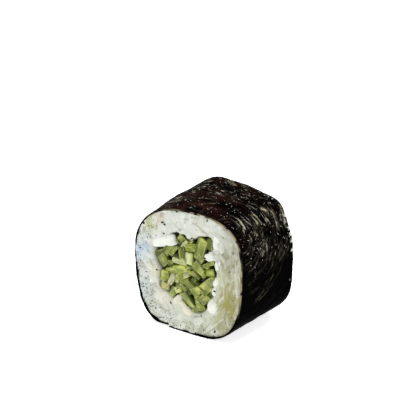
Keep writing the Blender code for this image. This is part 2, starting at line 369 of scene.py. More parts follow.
# flow_u runs along the fibres and flow_v across them. They go straight round the roll, then turn
# about the whorl. Slow swells bend them.
below = np.maximum(round_way - WHORL_SHARE * GIRTH, 0)
aside = np.sqrt((y - WHORL_PLACE) ** 2 + 1)
spread = np.hypot(below, aside)
flow_u = np.minimum(round_way, WHORL_SHARE * GIRTH) + spread * np.arctan2(below, aside)
flow_u = flow_u + 2.5 * soft_noise(round_way / 8, y / 8, 11)
flow_v = spread + 1.0 * soft_noise(round_way / 11, y / 8, 12) + 0.25 * soft_noise(round_way / 4, y / 2.5, 13)
fibre = (1 - np.abs(soft_noise(flow_u / 8, flow_v / 0.9, 14))) ** 5
hair = (1 - np.abs(soft_noise(flow_u / 5, flow_v / 0.5, 15))) ** 4
pucker = soft_noise(round_way / 5, y / 6, 16) + 0.5 * soft_noise(round_way / 2.2, y / 2.6, 17)
proud = FIBRE_RELIEF * fibre + HAIR_RELIEF * hair + PUCKER_RELIEF * pucker
proud *= ease((y - FRONT) / 1.5) * 0.8 + 0.2  # flatter at the front edge
lapped = np.where(share < 0.5, lap_depth(round_way), 0.0)
thick = SHEET_THICKNESS + SWOLLEN * hill(share - 0.16, 0.09)
depth = lapped + row_depth * thick - (1 - row_depth) * proud
vertices = skin_place(share, y, depth)
vertices[..., 2] = np.maximum(vertices[..., 2], 0.0)

sheet_faces = grid_faces(SHEET_COLUMNS, row_share.size, False)
sheet_faces.append(list(range(row_share.size)))
sheet_faces.append([(SHEET_COLUMNS - 1) * row_share.size + i for i in range(row_share.size)])


def stroke_mask(start, end, bend, width):
    """1 along one bent stroke of the (round, along) plane, fading at both ends and sides."""
    way = np.subtract(end, start)
    length = math.hypot(*way)
    way = way / length
    side = np.array([-way[1], way[0]]) * (1 if way[0] >= 0 else -1)
    along = ((round_way - start[0]) * way[0] + (y - start[1]) * way[1]) / length
    across = (round_way - start[0]) * side[0] + (y - start[1]) * side[1] - 4 * bend * along * (1 - along)
    return hill(across, 0.5 * width) * ease(along / 0.2) * ease((1 - along) / 0.3)


# Painted highlight: the stroke mask draws single fibres and arcs lighter, as if they caught the light.
stroke = 0 * round_way
broken = 0.75 + 0.5 * soft_noise(flow_u / 0.9, flow_v / 0.5, 20)
for share_from, place_from, share_to, place_to, bend, width, bright in STROKES:
    mask = stroke_mask((share_from * GIRTH, place_from), (share_to * GIRTH, place_to), bend, width)
    stroke = np.maximum(stroke, 1.5 * bright ** 2 * mask * broken)
dice = random.Random(8)
for _ in range(ARC_COUNT):
    reach = dice.uniform(2.5, 23)
    angle = dice.uniform(-0.2, 1.25)
    sweep = min(dice.uniform(2, 7) / reach, 0.9)
    ends = [(WHORL_SHARE * GIRTH + (reach - dice.uniform(0, 0.3)) * math.sin(a),
             WHORL_PLACE + reach * math.cos(a)) for a in (angle, angle + sweep)]
    mask = stroke_mask(*ends, reach * (1 - math.cos(sweep / 2)), dice.uniform(0.15, 0.32))
    stroke = np.maximum(stroke, dice.choice((0.09, 0.14, 0.18, 0.34)) ** 2 * mask)
stroke = np.clip(stroke, 0, 1)

nori_finish, shader, wire = new_finish("toasted_nori", {
    "IOR": 1.02, "Coat IOR": 1.5, "Coat Roughness": 0.18})
flow = wire.stored("flow", 1)
high = wire.stored("height")
damp = wire.stored("damp")
streak = wire.noise(flow * (0.16, 1.0, 1.0), 0.70, 4.0, 0.6)
long_line = wire.noise(flow * (0.05, 1.0, 1.0), 1.5, 1.0, 0.5).line(0.022)
short_line = wire.noise(flow * (0.20, 1.0, 1.0) + (7.0, 3.0, 0.0), 1.1, 1.0, 0.5).line(0.04)
crinkle = wire.noise(flow * (0.4, 1.0, 1.0), 1.1, 3.0, 0.6)
patch = wire.noise(flow * (0.5, 1.0, 1.0), 5.0, 3.0, 0.6)
speck = wire.noise(flow, 0.30, 2.0, 0.5)
brown = patch.between(0.40, 0.60) * wire.stored("warm")
black = brown.blend(paint(1, 1, 1), (46, 24, 18))
# Painted sheen and painted highlights: the streaks, hairlines and short fibre strokes are drawn lighter
# where light would catch them, more near the top of the roll and in the sheen spots.
lit = streak.between(0.58, 0.74) * (0.04 * high + 0.90 * damp)
painted_sheen = (0.16 * lit).blend(black, (96, 88, 68))
hair_highlight = long_line * crinkle.between(0.50, 0.62) * (0.03 + 0.30 * high + 0.40 * damp)
hair_highlit = (0.28 * hair_highlight).blend(painted_sheen, (120, 111, 90))
stroke_highlit = (0.75 * short_line * damp * crinkle.between(0.50, 0.58)).blend(hair_highlit, (230, 222, 198))
split = wire.noise(flow * (0.15, 1.0, 1.0), 0.24, 2.0, 0.5).between(0.44, 0.56)
# Painted highlight along the fibres of the stroke mask.
shone = (wire.stored("stroke") * (0.05 + 1.25 * split)).blend(stroke_highlit, (238, 224, 188))
crumbed = (speck.between(0.70, 0.77) * high).blend(shone, (216, 210, 194))
edged = wire.stored("starch").blend(crumbed, (186, 172, 136))
relief = 0.7 * streak + 0.3 * long_line + 0.8 * crinkle + wire.stored("stroke")
feed(shader, Base_Color=edged, Roughness=0.30 + 0.25 * patch, Normal=relief.bump(0.8, 0.16),
     Coat_Weight=0.35 * lit + 0.3 * hair_highlight + 0.02 * damp)

front_cut = ease(1 - (y - FRONT) / 0.22) * ease(0.75 + soft_noise(round_way / 1.2, y, 18))
starch = 0.8 * ease((share - 0.36) / 0.25) * ease((0.84 - share) / 0.08) * front_cut
# Painted sheen: the spots where the fibres are drawn lighter as if lit.
damp = sum(hill(share - middle, reach_round) * hill(y - place, reach_along)
           for middle, place, reach_round, reach_along in SHEEN_SPOTS)
damp = np.clip(damp * (1.05 + 0.85 * soft_noise(flow_u / 3, flow_v / 1.5, 19)), 0, 1)
warm = hill(share - 0.50, 0.11) * ease((vertices[..., 2] - 25) / 8) * (0.4 + 0.6 * hill(y - FRONT, 14))
sheet = new_piece(
    "nori_wrap", vertices, sheet_faces, nori_finish,
    flow=np.stack([flow_u, flow_v, 5 * row_depth + 0 * y], -1),
    height=ease((vertices[..., 2] - 12) / 18), warm=warm, damp=damp, starch=starch, stroke=stroke,
)
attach(sheet, "root")
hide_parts("nori_sheet")


# ---- Rice bed -----------------------------------------------------------------------------------
# Short sticky rice, pressed flat and rolled. The knife has smeared it: most grains run into one soft
# white paste, with the outlines of some still raised. Long strands of it lie at the lower right.

RICE_COLUMNS = 480
FACE_ROWS = 46
HOLE_ROWS = 20
SKIN_ROWS = 8
GRAIN_COUNT = 420
STRAND_COUNT = 46  # long smeared grains at the front's lower right
FUSION = 11  # the higher it is, the sharper the seams between two pressed grains
GRAIN_DOME = 0.30  # how far a grain's middle stands over its rim
CORE_X = -1.0  # middle of the filling
CORE_Z = AXIS_HEIGHT

# Edge of the filling at the front cut face, clockwise from the top.
FRONT_HOLE = [(-5.0, 29.5), (1.0, 28.5), (5.0, 30.5), (7.5, 31.0), (8.0, 27.5), (6.5, 25.5), (8.5, 24.0),
              (9.5, 19.0), (8.5, 15.5), (6.0, 9.5), (4.0, 7.5), (1.0, 8.0), (-2.5, 10.0), (-6.0, 10.5),
              (-9.5, 12.5), (-9.5, 17.0), (-11.5, 21.5), (-11.5, 24.0), (-7.5, 26.0)]

rice_tree = surface_of(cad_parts["rice_bed"])


def core_turn(x, z):
    """Angle of a place about the middle of the filling."""
    return np.arctan2(z - CORE_Z, x - CORE_X)


def core_place(turn, reach):
    """x and z at an angle and a distance from the middle of the filling."""
    return CORE_X + reach * np.cos(turn), CORE_Z + reach * np.sin(turn)


def front_hole_reach(turn):
    """Distance from the middle of the filling to its edge at the front cut face."""
    corners = np.array(FRONT_HOLE)
    reach = np.hypot(corners[:, 0] - CORE_X, corners[:, 1] - CORE_Z)
    return np.interp(turn, core_turn(*corners.T), reach, period=math.tau)


def cad_hole_reach(turn):
    """Distance from the middle of the filling to the wall of the CAD's hole."""
    middle = Vector((CORE_X, 0.0, CORE_Z)) * MM
    hits = [rice_tree.ray_cast(middle, Vector((math.cos(a), 0.0, math.sin(a))))[0] for a in turn]
    return np.array([(hit - middle).length / MM for hit in hits])


def scatter_grains(dice, strands):
    """Grains that show at a cut face: rows of x, z, angle, half length, half width, level, tone."""
    grains = []
    for _ in range(GRAIN_COUNT):
        turn = dice.uniform(0, math.tau)
        reach = dice.uniform(8, 20)
        x, z = core_place(turn, reach)
        angle = dice.gauss(turn + math.pi / 2, 0.9)
        grains.append((x, z, angle, dice.uniform(1.2, 3.0), dice.uniform(0.8, 1.25),
                       dice.gauss(0.0, 0.11), dice.random()))
    for _ in range(strands):
        turn = dice.uniform(-0.95, 0.15)
        reach = dice.uniform(11.5, 17.5)
        x, z = core_place(turn, reach)
        angle = turn + math.pi / 2 + dice.gauss(0.1, 0.12)
        grains.append((x, z, angle, dice.uniform(3.0, 6.5), dice.uniform(0.35, 0.7),
                       dice.uniform(0.05, 0.35), dice.random()))
    return grains


def pressed(x, z, grains):
    """Height of pressed grains over the cut plane, and the tone of the grain on top."""
    total = np.full(x.shape, 1e-6)
    tone = np.zeros(x.shape)
    for grain_x, grain_z, angle, long, wide, level, shade in grains:
        along = ((x - grain_x) * math.cos(angle) + (z - grain_z) * math.sin(angle)) / long
        across = (-(x - grain_x) * math.sin(angle) + (z - grain_z) * math.cos(angle)) / wide
        dome = np.clip(1 - along ** 2 - across ** 2, 0, None)
        weight = np.where(dome > 0, np.exp(FUSION * (level + GRAIN_DOME * np.sqrt(dome))), 0)
        total += weight
        tone += shade * weight
    height = np.log(np.maximum(total, 0.02)) / FUSION
    return height, tone / total


def face_relief(x, z, to_rim, to_hole, grains, seed):
    """Height of one rice face over the cut plane, and its grains' tone."""
    height, tone = pressed(x, z, grains)
    height = np.clip(height, -0.06, None) - 0.26
    height += 0.30 * soft_noise(x / 6 + 40, z / 6 + 40, seed)
    height += 0.10 * soft_noise(x / 1.3 + 40, z / 1.3 + 40, seed + 1)
    height -= 0.35 * np.exp(-to_rim / 0.3)
    height -= 1.00 * np.exp(-to_hole / 0.45)
    return height, tone


skin_share = np.arange(RICE_COLUMNS)[:, None] / RICE_COLUMNS
inset = 0.35 * SHEET_THICKNESS + 0.40 * hill(skin_share - 0.17, 0.08)
inset += np.where(skin_share < 0.5, lap_depth(skin_share * GIRTH) * (1 - lap_cover(skin_share * GIRTH)), 0)
parts = []
tones = []
dice = random.Random(5)
front_rim = skin_place(skin_share, FRONT, inset)[:, 0]
back_rim = skin_place(skin_share, BACK, inset)[:, 0]
front_turn = core_turn(front_rim[:, 0], front_rim[:, 2])
back_turn = core_turn(back_rim[:, 0], back_rim[:, 2])
cad_reach = cad_hole_reach(front_turn)
front_reach = front_hole_reach(front_turn)
front_reach = front_reach + 0.35 * soft_noise(12 * np.cos(front_turn) + 30, 12 * np.sin(front_turn) + 30, 21)
back_reach = cad_hole_reach(back_turn) * 0.97
back_reach = back_reach + 0.7 * soft_noise(6 * np.cos(back_turn) + 30, 6 * np.sin(back_turn) + 30, 22)
for side, rim, turn, reach, grains, seed in (
        (-1, front_rim, front_turn, front_reach, scatter_grains(dice, STRAND_COUNT), 31),
        (1, back_rim, back_turn, back_reach, scatter_grains(dice, 0), 41)):
    inward = np.linspace(0, 1, FACE_ROWS)[None, :]
    hole_x, hole_z = core_place(turn, reach)
    x = rim[:, :1] + (hole_x[:, None] - rim[:, :1]) * inward
    z = rim[:, 2:] + (hole_z[:, None] - rim[:, 2:]) * inward
    band = np.hypot(hole_x - rim[:, 0], hole_z - rim[:, 2])[:, None]
    height, tone = face_relief(x, z, band * inward, band * (1 - inward), grains, seed)
    y = (FRONT if side < 0 else BACK) + side * height
    face = np.stack([x, y, z], -1)
    parts.append(face if side < 0 else face[:, ::-1])
    tones.append(tone if side < 0 else tone[:, ::-1])

front_face, back_face = parts
wall = np.linspace(0, 1, HOLE_ROWS + 2)[None, 1:-1]
ends = ease(1 - np.minimum(wall, 1 - wall) / 0.2)
turn = front_turn[:, None] + 0 * wall
back_end = np.interp(front_turn, np.sort(back_turn), back_reach[np.argsort(back_turn)],
                     period=math.tau)
end_reach = np.where(wall < 0.5, front_reach[:, None], back_end[:, None])
reach = cad_reach[:, None] * (1 - ends) + end_reach * ends
reach += 0.25 * soft_noise(turn * 4 + 9, wall * 16 + 9, 51)
wall_y = front_face[:, -1, 1][:, None] * (1 - wall) + back_face[:, 0, 1][:, None] * wall
wall_x, wall_z = core_place(turn, reach)
hole_wall = np.stack([wall_x, wall_y, wall_z], -1)
under = np.linspace(1, 0, SKIN_ROWS + 2)[None, 1:-1]
rice_skin = skin_place(skin_share, FRONT + (BACK - FRONT) * (0.03 + 0.94 * under), inset + 0.1)

rice_vertices = np.concatenate([front_face, hole_wall, back_face, rice_skin], 1)
rice_tone = np.concatenate([tones[0], 0.3 + 0 * turn, tones[1], 0.5 + 0 * under + 0 * skin_share], 1)
rice_vertices[..., 2] = np.maximum(rice_vertices[..., 2], 0.5)
x, y, z = np.moveaxis(rice_vertices, -1, 0)

WHITE_RICE = (197, 201, 191)
BACK_TINTS = 0.6  # strength of the tints on the back face, where they are upside down
# Tints over the white rice: middle x, z, reach, colour, strength. They are bluish at the left and green,
# yellow and buff round the filling; the dark olive ones at the right edge are partly painted shade, where
# the rice curves away from the light.
TINTS = [
    (-17.5, 22.5, 4.2, (158, 182, 212), 0.9), (-16.0, 11.0, 4.0, (170, 188, 206), 0.7),
    (-13.0, 31.6, 2.3, (160, 166, 72), 1.0), (-10.4, 33.0, 1.7, (214, 192, 176), 0.8),
    (14.5, 15.0, 5.2, (116, 112, 62), 1.0), (15.0, 8.0, 4.0, (124, 122, 60), 1.0),
    (11.0, 5.0, 3.8, (158, 156, 116), 0.9), (14.2, 25.0, 5.8, (128, 121, 84), 0.95),
    (16.0, 19.0, 3.6, (150, 146, 104), 0.9), (10.0, 19.0, 3.2, (180, 186, 128), 0.6),
    (-2.0, 34.0, 5.0, (208, 212, 210), 0.4), (-8.5, 9.5, 3.5, (222, 206, 186), 0.7),
    (-11.4, 17.0, 2.4, (214, 202, 160), 0.8), (4.0, 33.0, 3.0, (214, 208, 190), 0.5),
    (0.0, 4.0, 6.0, (172, 176, 156), 0.8), (-8.0, 5.0, 4.0, (192, 198, 188), 0.5),
]


def linear(colour):
    """A colour from 0 to 255 as an array of three, for storing on a mesh."""
    return np.array(paint(*colour)[:3])


tint = np.zeros(rice_vertices.shape) + linear(WHITE_RICE)
forward = ease((FRONT + 3 - y) / 3)  # 1 at the front face, 0 from 3 mm behind it
backward = ease((y - BACK + 3) / 3)
wander = 1.2 * soft_noise(x / 2 + 20, z / 2 + 20, 61)
for tint_x, tint_z, spread, colour, strength in TINTS:
    before = forward * hill(np.hypot(x - tint_x, z - tint_z) + wander, spread)
    behind = backward * hill(np.hypot(x - 0.9 * tint_x, z - 38 + tint_z) + wander, spread)
    amount = strength * (before + BACK_TINTS * behind)
    tint += amount[..., None] * (linear(colour) - tint)

rice_finish, shader, wire = new_finish("pressed_rice", {
    "IOR": 1.4, "Specular IOR Level": 0.4, "Subsurface Weight": 0.25, "Subsurface Scale": 1.2 * MM,
    "Subsurface Radius": (1.0, 0.9, 0.7)})
place = wire.node("ShaderNodeTexCoord", {}, {}, 3) * (1 / MM, 1 / MM, 1 / MM)
tone = wire.stored("tone")
# Painted shade: the rice is drawn darker where its face sinks behind the cut plane, in the clefts between
# raised grains.
cleft_shade = wire.stored("proud").between(0.05, -0.45)
cloud = wire.noise(place, 2.2, 3.0, 0.6)
grit = wire.noise(place, 0.35, 3.0, 0.6)
washed = (tone.between(0.3, 1.0) * 0.5).blend(wire.stored("tint", 0), (224, 227, 220))
clouded = (cloud.between(0.35, 0.75) * 0.45).blend(washed, (188, 190, 172))
smear = wire.noise(place * (1.0, 1.0, 0.5), 0.8, 4.0, 0.65)
smeared = (smear.between(0.48, 0.68) * 0.4).blend(clouded, (222, 226, 218))
specked = (grit.between(0.58, 0.72) * 0.35).blend(smeared, (150, 158, 142))
cleft_shaded = (cleft_shade * 0.40).blend(specked, (150, 150, 122))
layer = wire.noise(wire.stored("lay", 1) * (1.0, 0.12, 1.0), 0.8, 3.0, 0.55)
stranded = (layer.between(0.42, 0.62) * wire.stored("strand")).blend(cleft_shaded, (146, 142, 70))
shiny = (layer.between(0.42, 0.30) * wire.stored("strand") * 0.8).blend(stranded, (208, 206, 174))
dots = wire.node("ShaderNodeTexVoronoi", {}, {"Vector": place, "Scale": 1 / 0.9, "Randomness": 1.0})
dot = (1 - dots.between(0.10, 0.20)) * wire.stored("dirt") * grit.between(0.36, 0.50)
dotted = (dot * 0.9).blend(shiny, (62, 68, 54))
feed(shader, Base_Color=dotted, Roughness=0.34 + 0.3 * grit, Normal=(grit + cloud).bump(0.5, 0.12))

spoke = np.hypot(x - CORE_X, z - CORE_Z)
proud = np.where(y < 0, FRONT - y, y - BACK)  # over the nearer cut plane
strand = forward * hill(core_turn(x, z) + 0.42, 0.38) * ease((spoke - 11) / 3)
dirt = forward * (ease((-x - 8) / 6) + ease((8 - z) / 5) + 0.5 * ease((z - 30) / 4))
dirt += 0.6 * backward * (ease((-x - 6) / 8) + ease((9 - z) / 5))
lay = [spoke + 0.6 * soft_noise(x / 3 + 20, z / 3 + 20, 62), core_turn(x, z) * 14, y]
rice = new_piece(
    "rice_filling_bed", rice_vertices, grid_faces(RICE_COLUMNS, rice_vertices.shape[1], True),
    rice_finish, tone=rice_tone, proud=proud, tint=tint, dirt=np.clip(dirt, 0, 1), strand=strand,
    lay=np.stack(lay, -1),
)
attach(rice, "root")
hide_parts("rice_bed")


# ---- Loose rice grains --------------------------------------------------------------------------
# Whole grains and lumps that the knife has left standing on the front cut face, round the filling.
# Each is one soft body, stuck to the bed by its own starch.

MILKY = (228, 231, 223)
BUFF = (222, 214, 192)

# x, z, angle in degrees, length, width, how far it stands proud of the cut plane, colour
LOOSE_GRAINS = [
    (-8.4, 26.4, 19, 9.4, 3.4, 0.45, MILKY), (8.6, 10.4, 70, 5.2, 3.7, 0.7, MILKY),
    (7.2, 25.3, 30, 3.4, 2.6, 0.5, MILKY), (10.0, 30.5, 80, 6.5, 4.2, 0.1, MILKY),
    (9.6, 18.0, 60, 3.4, 2.4, 0.2, MILKY), (9.2, 15.2, 80, 3.4, 2.2, 0.2, MILKY),
    (-3.6, 9.6, 50, 3.8, 2.2, 0.5, BUFF), (-1.3, 7.6, -36, 7.4, 2.8, 0.4, BUFF),
    (-13.0, 29.5, 40, 5.0, 3.0, 0.0, MILKY), (-8.5, 31.0, 25, 5.4, 2.8, 0.0, MILKY),
    (10.4, 23.0, 85, 5.0, 3.4, 0.05, MILKY), (0.0, 33.0, 15, 6.4, 2.8, -0.05, MILKY),
    (-12.5, 14.0, 75, 5.0, 2.8, -0.05, MILKY), (7.5, 34.0, -30, 4.8, 2.6, 0.0, BUFF),
]
GRAIN_FLATNESS = 0.7  # thickness for a width of 1
SHORT_GRAIN = 6.0  # shorter ones are round, and longer ones are squarish lumps
PLAIN_RICE = {"proud": 0.3, "dirt": 0.0, "strand": 0.0, "lay": (0.0, 0.0, 0.0)}


def unit_block(cuts):
    """Vertices of a cube from -1 to 1 with each side cut into a fine grid, and its faces."""
    body = bmesh.new()
    bmesh.ops.create_cube(body, size=2.0)
    bmesh.ops.subdivide_edges(body, edges=body.edges[:], cuts=cuts, use_grid_fill=True)
    vertices = np.array([corner.co for corner in body.verts])
    faces = [[corner.index for corner in face.verts] for face in body.faces]
    body.free()
    return np.sin(vertices * math.pi / 2), faces


def soft_block(block, sizes, rounding):
    """A block of the sizes given, with rounded edges, about its own middle."""
    half = np.array(sizes) / 2
    radius = min(rounding, 0.999 * half.min())
    full = block * half
    core = np.clip(full, -(half - radius), half - radius)
    away = full - core
    length = np.maximum(np.linalg.norm(away, axis=1, keepdims=True), 1e-9)
    return core + away / length * radius


def pebble(block, sizes):
    """An egg-shaped body of the sizes given, about its own middle."""
    return block / np.linalg.norm(block, axis=1, keepdims=True) * np.array(sizes) / 2


def spun(first, second, angle):
    """Two coordinates turned by an angle in their own plane."""
    return (first * math.cos(angle) - second * math.sin(angle),
            first * math.sin(angle) + second * math.cos(angle))


def turned(vertices, turn, roll=0.0, pitch=0.0):
    """Local (along, deep, across) turned by an angle in the cut plane, after a roll and a pitch."""
    along, deep, across = vertices.T
    deep, across = spun(deep, across, roll)
    along, deep = spun(along, deep, pitch)
    x, z = spun(along, across, turn)
    return np.stack([x, deep, z], 1)


def wobble(main, sides, seed):
    """Smooth shifts from -1 to 1 in x, y and z, which vary with one coordinate and each of three."""
    return np.stack([soft_noise(main, side, seed + k) for k, side in enumerate(sides.T)], 1)


class Heap:
    """Many small bodies gathered into the arrays of one piece."""

    def __init__(self):
        self.vertices = []
        self.faces = []
        self.values = {}
        self.count = 0

    def add(self, vertices, faces, **values):
        self.faces += [[self.count + i for i in face] for face in faces]
        self.vertices.append(vertices)
        for label, value in values.items():
            shape = (len(vertices), 3) if np.shape(value)[-1:] == (3,) else (len(vertices),)
            self.values.setdefault(label, []).append(np.broadcast_to(value, shape))
        self.count += len(vertices)

    def piece(self, name, finish):
        gathered = {label: np.concatenate(values) for label, values in self.values.items()}
        return new_piece(name, np.concatenate(self.vertices), self.faces, finish, **gathered)


fine_block, fine_faces = unit_block(9)
small_block, small_faces = unit_block(3)

heap = Heap()
for x, z, angle, length, width, stand, colour in LOOSE_GRAINS:
    thick = GRAIN_FLATNESS * width
    rounder = 0.7 if length < SHORT_GRAIN else 0.1
    grain = (1 - rounder) * soft_block(fine_block, (length, thick, width), 0.45 * thick)
    grain += 1.06 * rounder * pebble(fine_block, (length, thick, width))
    along = grain[:, 0] / length * 2
    grain[:, 2] *= 1 - 0.15 * along ** 4 + dice.uniform(0.02, 0.22) * along
    grain[:, 1] += 0.10 * thick * along ** 2
    for size, rough in ((0.5, 0.10), (1.4, 0.05)):
        grain += rough * wobble(grain[:, 0] * size + 30 + x, np.roll(grain, -1, 1) * size + 30, 71)
    grain = turned(grain, math.radians(angle), dice.uniform(0.05, 0.25), dice.uniform(-0.06, 0.06))
    grain += (x, FRONT - stand + thick / 2, z)
    heap.add(grain, fine_faces, tone=0.5, tint=linear(colour), **PLAIN_RICE)
grains = heap.piece("rice_loose_grains", rice_finish)
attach(grains, "root")


# ---- Cucumber -----------------------------------------------------------------------------------
# Fresh cucumber, cut into small bars and chopped. Wet pale green flesh with a faint grain, darker
# towards the rind, and a strip of dark rind on some bars. Strips lie inside, chopped bars at the ends.

PALE = (202, 208, 156)
CREAM = (232, 230, 196)
STRAW = (214, 206, 136)
LIME = (146, 160, 50)
LEAF = (118, 130, 52)
SAGE = (134, 144, 78)
OLIVE = (94, 106, 32)
DEEP = (62, 76, 18)
FLESH = (194, 200, 108)  # the paler flesh that every bar turns to at one end

# x, z, angle in degrees, length, width, how far it stands proud, colour
FRONT_BARS = [
    (4.5, 27.5, 78, 5.4, 3.1, 0.3, LEAF), (6.9, 28.7, 90, 3.4, 2.3, -0.4, OLIVE),
    (7.0, 26.8, 80, 2.0, 2.0, -0.9, DEEP), (1.0, 26.6, 5, 4.1, 2.4, 0.2, LIME),
    (0.4, 23.3, 90, 3.7, 2.6, 0.5, PALE), (3.5, 24.0, -35, 3.6, 2.4, -0.1, SAGE),
    (3.6, 21.2, -45, 4.4, 3.2, 0.1, LEAF), (6.8, 22.8, 30, 4.2, 1.4, -0.1, LEAF),
    (4.7, 19.6, -40, 2.7, 2.2, -0.1, LIME), (7.0, 17.3, 42, 6.0, 2.6, 0.3, SAGE),
    (6.4, 15.0, 40, 4.2, 2.5, 0.0, LEAF), (7.6, 13.8, 40, 2.4, 2.0, -0.5, DEEP),
    (-2.7, 28.0, 60, 3.2, 2.8, -0.3, OLIVE), (0.0, 28.6, -25, 3.2, 1.7, -0.4, OLIVE),
    (-2.1, 26.2, 70, 3.6, 2.2, -0.4, OLIVE), (-6.0, 24.6, 60, 4.2, 3.5, 0.1, LEAF),
    (-9.6, 22.3, 25, 4.8, 2.5, -0.5, OLIVE), (-8.3, 20.7, -50, 3.6, 2.6, 0.1, SAGE),
    (-2.1, 23.5, 90, 3.5, 2.3, -0.2, LEAF), (-2.8, 21.4, -5, 5.2, 1.6, 0.3, PALE),
    (-2.3, 19.5, 20, 4.6, 2.6, 0.4, LIME), (-6.6, 20.0, 10, 3.0, 2.1, -0.6, OLIVE),
    (-5.7, 18.1, 15, 3.8, 2.3, 0.0, LIME), (-7.8, 16.4, 0, 3.0, 2.5, 0.1, LIME),
    (-5.4, 15.7, 62, 3.8, 1.8, 0.6, CREAM), (-3.9, 16.5, 70, 4.2, 1.3, 0.0, LIME),
    (-1.9, 16.3, -20, 3.4, 2.7, 0.2, LIME), (-0.7, 17.9, 20, 2.3, 2.0, 0.1, PALE),
    (2.0, 18.3, -40, 3.4, 2.2, -0.5, DEEP), (0.6, 15.0, -40, 3.8, 2.1, 0.1, LEAF),
    (2.2, 16.3, -40, 3.2, 2.0, -0.4, DEEP), (-2.7, 14.1, 25, 3.2, 1.9, 0.1, SAGE),
    (-0.3, 13.3, 0, 3.0, 2.6, -0.3, DEEP), (2.7, 13.8, 30, 3.6, 2.7, 0.1, LEAF),
    (-8.1, 13.4, 80, 3.6, 3.2, -0.1, STRAW), (-5.3, 11.7, 60, 3.6, 2.4, 0.0, LEAF),
    (-3.3, 12.7, 30, 2.6, 2.0, 0.2, PALE), (0.2, 10.5, -48, 5.4, 2.5, 0.4, SAGE),
    (-1.2, 10.0, -48, 5.0, 1.6, -0.3, DEEP), (3.1, 11.2, 20, 2.9, 2.8, -0.6, DEEP),
    (5.4, 12.1, 45, 3.8, 2.9, 0.1, SAGE), (4.3, 9.1, 20, 2.6, 2.3, 0.0, LIME),
    (2.2, 8.4, 60, 2.6, 2.3, 0.1, SAGE), (1.8, 21.0, -60, 3.0, 1.8, -0.4, DEEP),
    (-4.7, 22.4, 30, 2.6, 1.8, -0.9, DEEP), (6.8, 20.3, 10, 3.0, 2.0, -0.4, LIME),
]
BAR_DEPTH = 2.8
UNDER_BARS = 34  # dark bars that lie a layer deeper
BACK_BARS = 46
GOLDEN_ANGLE = 2.4  # radians, which spreads pieces evenly over a round place
KNIFE_EDGE = 0.36  # rounding of a bar's edges
BAR_GAP = 0.95  # share of its place that a bar fills
STRIP_GAP = 0.92
CHIP_COUNT = 30  # tries at small bits that fill the gaps between the bars
RIND_SHARE = 0.3  # of the bars, those with rind on one side

cucumber_finish, shader, wire = new_finish("wet_cucumber", {
    "IOR": 1.38, "Specular IOR Level": 0.3, "Subsurface Weight": 0.08, "Subsurface Scale": 0.8 * MM,
    "Subsurface Radius": (0.8, 1.0, 0.4), "Coat Roughness": 0.12, "Coat IOR": 1.33})
fibre = wire.stored("fibre", 1)
vein = wire.noise(fibre * (0.15, 1.0, 1.0), 0.34, 3.0, 0.6)
cloud = wire.noise(fibre, 1.6, 3.0, 0.55)
grit = wire.noise(fibre, 0.3, 3.0, 0.6)
flesh = wire.stored("tone", 0)
lighter = (vein.between(0.50, 0.66) * 0.50).blend(flesh, (202, 208, 112))
darker = (cloud.between(0.50, 0.68) * 0.45).blend(lighter, (84, 98, 26))
grained = (vein.between(0.46, 0.34) * 0.45).blend(darker, (66, 80, 20))
# Painted highlight: the bars' edges and corners are drawn lighter, broken by noise.
worn = (wire.stored("worn") * grit.between(0.40, 0.55) * 0.6).blend(grained, (200, 206, 118))
rind = wire.stored("rind").blend(worn, (44, 66, 16))
# Painted shade: bars are drawn darker the deeper they lie behind the cut face, so the gaps between them look
# dark.
deep_shaded = (wire.stored("deep") * 0.85).blend(rind, (30, 38, 8))
feed(shader, Base_Color=deep_shaded, Roughness=0.24 + 0.25 * grit, Normal=(vein + 0.5 * grit).bump(0.6, 0.10),
     Coat_Weight=0.1 + 0.3 * cloud.between(0.4, 0.6))


def cucumber_bar(heap, place, turn, sizes, colour, lean=0.2):
    """Add one chopped bar: out of square, paler at one end, with rind along one side on some."""
    deep, width = sizes[1:]
    bar = soft_block(fine_block, sizes, min(KNIFE_EDGE, 0.3 * width))
    along, inward, across = (bar / (np.array(sizes) / 2)).T
    # The corners and edges get a painted highlight.
    corner = np.sum(np.abs(np.stack([along, inward, across])) > 0.88, axis=0) >= 2
    bar[:, 2] *= 1 + dice.uniform(-0.2, 0.2) * along
    bar[:, 0] += dice.uniform(-0.25, 0.25) * across * width / 2
    bar[:, 1] += dice.uniform(-0.2, 0.2) * across * deep / 2 + 0.08 * along ** 2
    shift = dice.uniform(0, 90)
    bar += 0.09 * wobble(bar[:, 0] * 0.8 + shift, np.roll(bar, -1, 1) * 1.2 + shift, 81)
    fibre = bar + shift
    rind = 0.9 * ease((across - 0.4) / 0.4) if dice.random() < RIND_SHARE else 0 * across
    bar = turned(bar, turn, dice.uniform(-lean, lean), dice.uniform(-lean, lean) * 0.6) + np.array(place)
    flesh = linear(colour) * dice.uniform(0.48, 0.98)
    paler = ease(0.35 + 0.7 * dice.choice((-1, 1)) * along + 0.3 * across)[:, None]
    paler = paler * dice.choice((0.0, 0.15, 0.4, 0.8))
    tone = flesh + paler * (linear(FLESH) - flesh)
    # Painted shade: the deeper a bar lies behind its cut face, the darker it is drawn.
    depth = np.minimum(bar[:, 1] - FRONT, BACK - bar[:, 1])
    heap.add(bar, fine_faces, tone=tone, fibre=fibre, worn=corner * 1.0, rind=rind,
             deep=ease((depth - 0.3) / 1.4))


